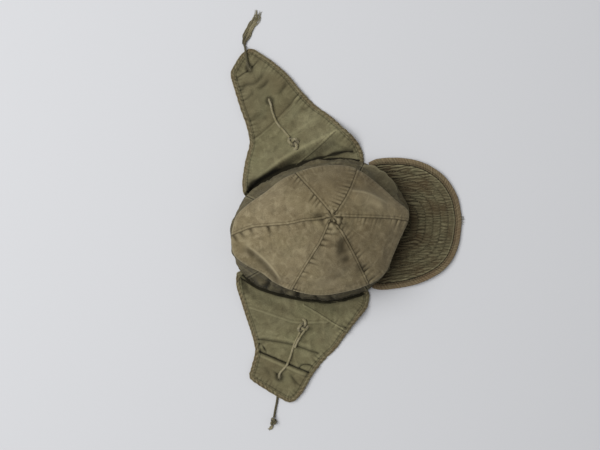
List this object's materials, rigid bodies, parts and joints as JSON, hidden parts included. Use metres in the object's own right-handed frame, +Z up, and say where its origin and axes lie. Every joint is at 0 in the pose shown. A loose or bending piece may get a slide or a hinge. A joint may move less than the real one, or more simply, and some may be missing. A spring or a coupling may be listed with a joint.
{
  "type": "field cap with ear flaps",
  "caption": "Soft cotton field cap: gored crown on a side band, quilted visor, and two ear flaps that swing on their roots and carry tie cords.",
  "frame": {"origin": "on the table under the middle of the cap's box, leaving out the tie cords; the middle of the head opening is at about x -34 mm, y -12 mm", "axes": "+X forward along the visor, +Y to the wearer's left, +Z up through the crown; the cap stands on its band with the flaps lying open"},
  "size_m": [0.2874, 0.528, 0.0988],
  "materials": {
    "crown_cotton": "washed matt cotton twill, brownish khaki",
    "band_cotton": "washed matt cotton twill",
    "flap_cotton": "washed matt cotton twill, olive",
    "hem_cotton": "double stitched hem, worn paler on the edge",
    "lining_cotton": "matt plain cotton",
    "sweatband_cotton": "matt dark cotton tape",
    "stiffener_canvas": "raw stiff canvas",
    "binding_cotton": "worn reddish-brown edge binding",
    "visor_cotton": "dark olive quilted cotton",
    "cotton_wadding": "raw wadding",
    "thread": "matt cotton thread",
    "tie_cord": "matt twisted cotton cord"
  },
  "bodies": {
    "cap": {"crown_panel_1": "crown_cotton", "crown_panel_2": "crown_cotton", "crown_panel_3": "crown_cotton", "crown_panel_4": "crown_cotton", "crown_panel_5": "crown_cotton", "crown_panel_6": "crown_cotton", "crown_lining_1": "lining_cotton", "crown_lining_2": "lining_cotton", "crown_lining_3": "lining_cotton", "crown_lining_4": "lining_cotton", "crown_lining_5": "lining_cotton", "crown_lining_6": "lining_cotton", "crown_gather": "crown_cotton", "band_front": "band_cotton", "band_left": "band_cotton", "band_back": "band_cotton", "band_right": "band_cotton", "band_lining": "lining_cotton", "sweatband": "sweatband_cotton", "visor_root_top": "visor_cotton", "visor_root_underside": "lining_cotton", "visor_root_binding_left": "binding_cotton", "visor_root_binding_right": "binding_cotton", "flap_left_root": "flap_cotton", "flap_left_root_gusset": "flap_cotton", "flap_left_root_lining": "lining_cotton", "flap_right_root": "flap_cotton", "flap_right_root_gusset": "flap_cotton", "flap_right_root_lining": "lining_cotton"},
    "visor": {"visor_top": "visor_cotton", "visor_stiffener": "stiffener_canvas", "visor_underside": "lining_cotton", "visor_binding": "binding_cotton"},
    "flap_left": {"flap_left_outer": "flap_cotton", "flap_left_gusset": "flap_cotton", "flap_left_padding": "cotton_wadding", "flap_left_lining": "lining_cotton", "flap_left_hem": "hem_cotton", "flap_left_eyelet_1": "thread", "flap_left_eyelet_2": "thread", "tie_left_knot": "tie_cord", "tie_left_cord": "tie_cord", "tie_left_tassel": "tie_cord"},
    "flap_right": {"flap_right_outer": "flap_cotton", "flap_right_gusset": "flap_cotton", "flap_right_padding": "cotton_wadding", "flap_right_lining": "lining_cotton", "flap_right_hem": "hem_cotton", "flap_right_eyelet_1": "thread", "tie_right_knot": "tie_cord", "tie_right_cord": "tie_cord", "tie_right_end_knot": "tie_cord", "tie_right_tail": "tie_cord"}
  },
  "joints": [
    {"name": "visor_fold", "type": "hinge", "parent": "cap", "child": "visor", "pos_m": [0.08535, -0.01176, 0.005], "axis": [0, -1, 0], "range_deg": [-30, 65]},
    {"name": "flap_left_fold", "type": "hinge", "parent": "cap", "child": "flap_left", "pos_m": [-0.05365, 0.08524, 0.012], "axis": [0.9781, 0.2079, 0], "range_deg": [-75, 95]},
    {"name": "flap_right_fold", "type": "hinge", "parent": "cap", "child": "flap_right", "pos_m": [-0.05365, -0.10876, 0.012], "axis": [-0.9781, 0.2079, 0], "range_deg": [-75, 95]}
  ]
}
